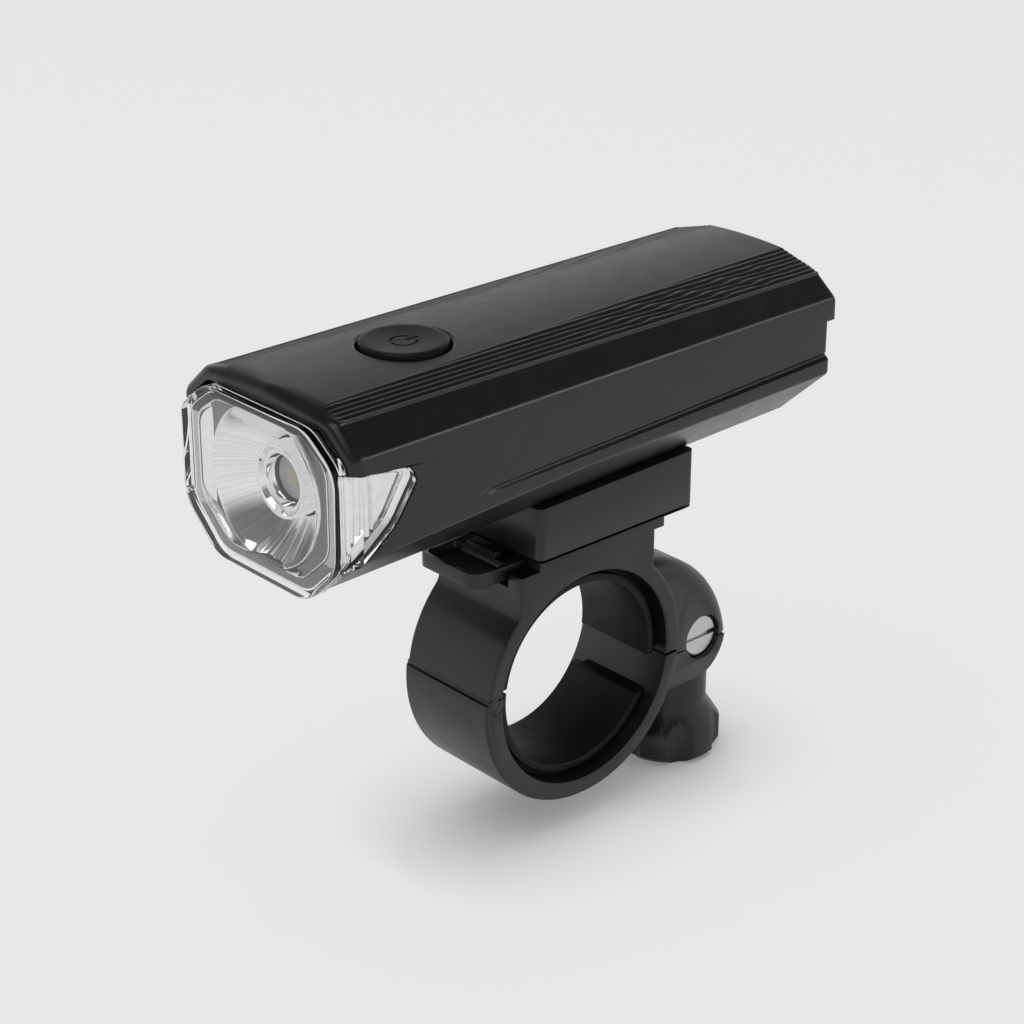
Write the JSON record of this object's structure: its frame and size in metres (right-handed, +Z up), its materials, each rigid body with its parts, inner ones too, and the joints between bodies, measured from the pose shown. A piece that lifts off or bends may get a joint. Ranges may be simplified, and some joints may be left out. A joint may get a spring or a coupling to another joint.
{
  "type": "bike headlight",
  "caption": "Long wedge-cut handlebar bike headlight with a clear wrap-round lens, on a slide-off rail over a hinged bar clamp with a thumb knob.",
  "frame": {"origin": "centre of the handlebar bore in the bar clamp", "axes": "+X along the handlebar, -Y the way the beam points, +Z up from the clamp to the lamp head"},
  "size_m": [0.04, 0.1024, 0.0899],
  "materials": {
    "cover_plastic": "fine moulded texture, satin black",
    "housing_plastic": "fine moulded texture, satin black",
    "clear_lens": "clear moulded polycarbonate, polished",
    "soft_rubber": "matte black",
    "chrome_plate": "vacuum plated, bright",
    "board_aluminium": "plain",
    "emitter": "clear dome over yellow phosphor",
    "white_plastic": "white",
    "cell_wrap": "shrink sleeve",
    "nickel_strip": "nickel plated",
    "inner_plastic": "plain black",
    "board_green": "solder resist",
    "chip_black": "moulded packages",
    "black_steel": "blackened steel",
    "button_rubber": "smooth silicone, satin black",
    "bracket_plastic": "glass filled nylon, satin black",
    "liner_rubber": "matte black",
    "zinc_steel": "zinc plated",
    "knob_plastic": "satin black",
    "brass_insert": "plain"
  },
  "bodies": {
    "bracket": {"upper_clamp": "bracket_plastic", "upper_liner": "liner_rubber"},
    "head": {"top_cover": "cover_plastic", "lower_housing": "housing_plastic", "front_lens": "clear_lens", "lens_gasket": "soft_rubber", "reflector": "chrome_plate", "led_board": "board_aluminium", "led_emitter": "emitter", "led_ring": "white_plastic", "heat_plate": "board_aluminium", "battery_cell": "cell_wrap", "battery_contacts": "nickel_strip", "battery_cradle": "inner_plastic", "circuit_board": "board_green", "tact_switch": "inner_plastic", "board_chips": "chip_black", "usb_socket": "nickel_strip", "housing_seal": "soft_rubber", "housing_screws": "black_steel", "button_seal": "soft_rubber", "rail_shoe": "bracket_plastic", "shoe_screws": "zinc_steel"},
    "button": {"power_button": "button_rubber"},
    "charge_flap": {"usb_cover": "soft_rubber"},
    "lever": {"release_lever": "bracket_plastic"},
    "jaw": {"lower_clamp": "bracket_plastic", "lower_liner": "liner_rubber"},
    "swing_bolt": {"pivot_barrel": "zinc_steel", "clamp_bolt": "zinc_steel"},
    "washer": {"knob_washer": "zinc_steel"},
    "knob": {"thumb_knob": "knob_plastic", "knob_insert": "brass_insert"}
  },
  "joints": [
    {"name": "head_slide", "type": "slide", "parent": "bracket", "child": "head", "axis": [0, -1, 0], "range_m": [0, 0.028]},
    {"name": "power_press", "type": "slide", "parent": "head", "child": "button", "axis": [0, 0, -1], "range_m": [0, 0.0006], "stiffness_N_per_m": 400},
    {"name": "charge_flap_hinge", "type": "hinge", "parent": "head", "child": "charge_flap", "pos_m": [0, 0.0443, 0.0504], "axis": [-1, 0, 0], "range_deg": [0, 95]},
    {"name": "lever_press", "type": "hinge", "parent": "bracket", "child": "lever", "pos_m": [0, -0.0069, 0.0224], "axis": [1, 0, 0], "range_deg": [0, 7.5], "stiffness_Nm_per_rad": 0.5},
    {"name": "bolt_swing", "type": "hinge", "parent": "bracket", "child": "swing_bolt", "pos_m": [0, 0.0292, -0.0034], "axis": [1, 0, 0], "range_deg": [0, 85]},
    {"name": "knob_travel", "type": "slide", "parent": "swing_bolt", "child": "washer", "axis": [0, 0, -1], "range_m": [0, 0.0057]},
    {"name": "knob_turn", "type": "hinge", "parent": "washer", "child": "knob", "pos_m": [0, 0.0292, -0.015], "axis": [0, 0, -1], "range_deg": [0, 2520]},
    {"name": "jaw_open", "type": "hinge", "parent": "bracket", "child": "jaw", "pos_m": [0, -0.02026, 0.0024], "axis": [-1, 0, 0], "range_deg": [0, 6.4]}
  ],
  "couplings": [
    {"joint": "knob_travel", "follows": "knob_turn", "m_per_rad": 0.00012732},
    {"joint": "jaw_open", "follows": "knob_turn", "ratio": 0.0024965}
  ]
}
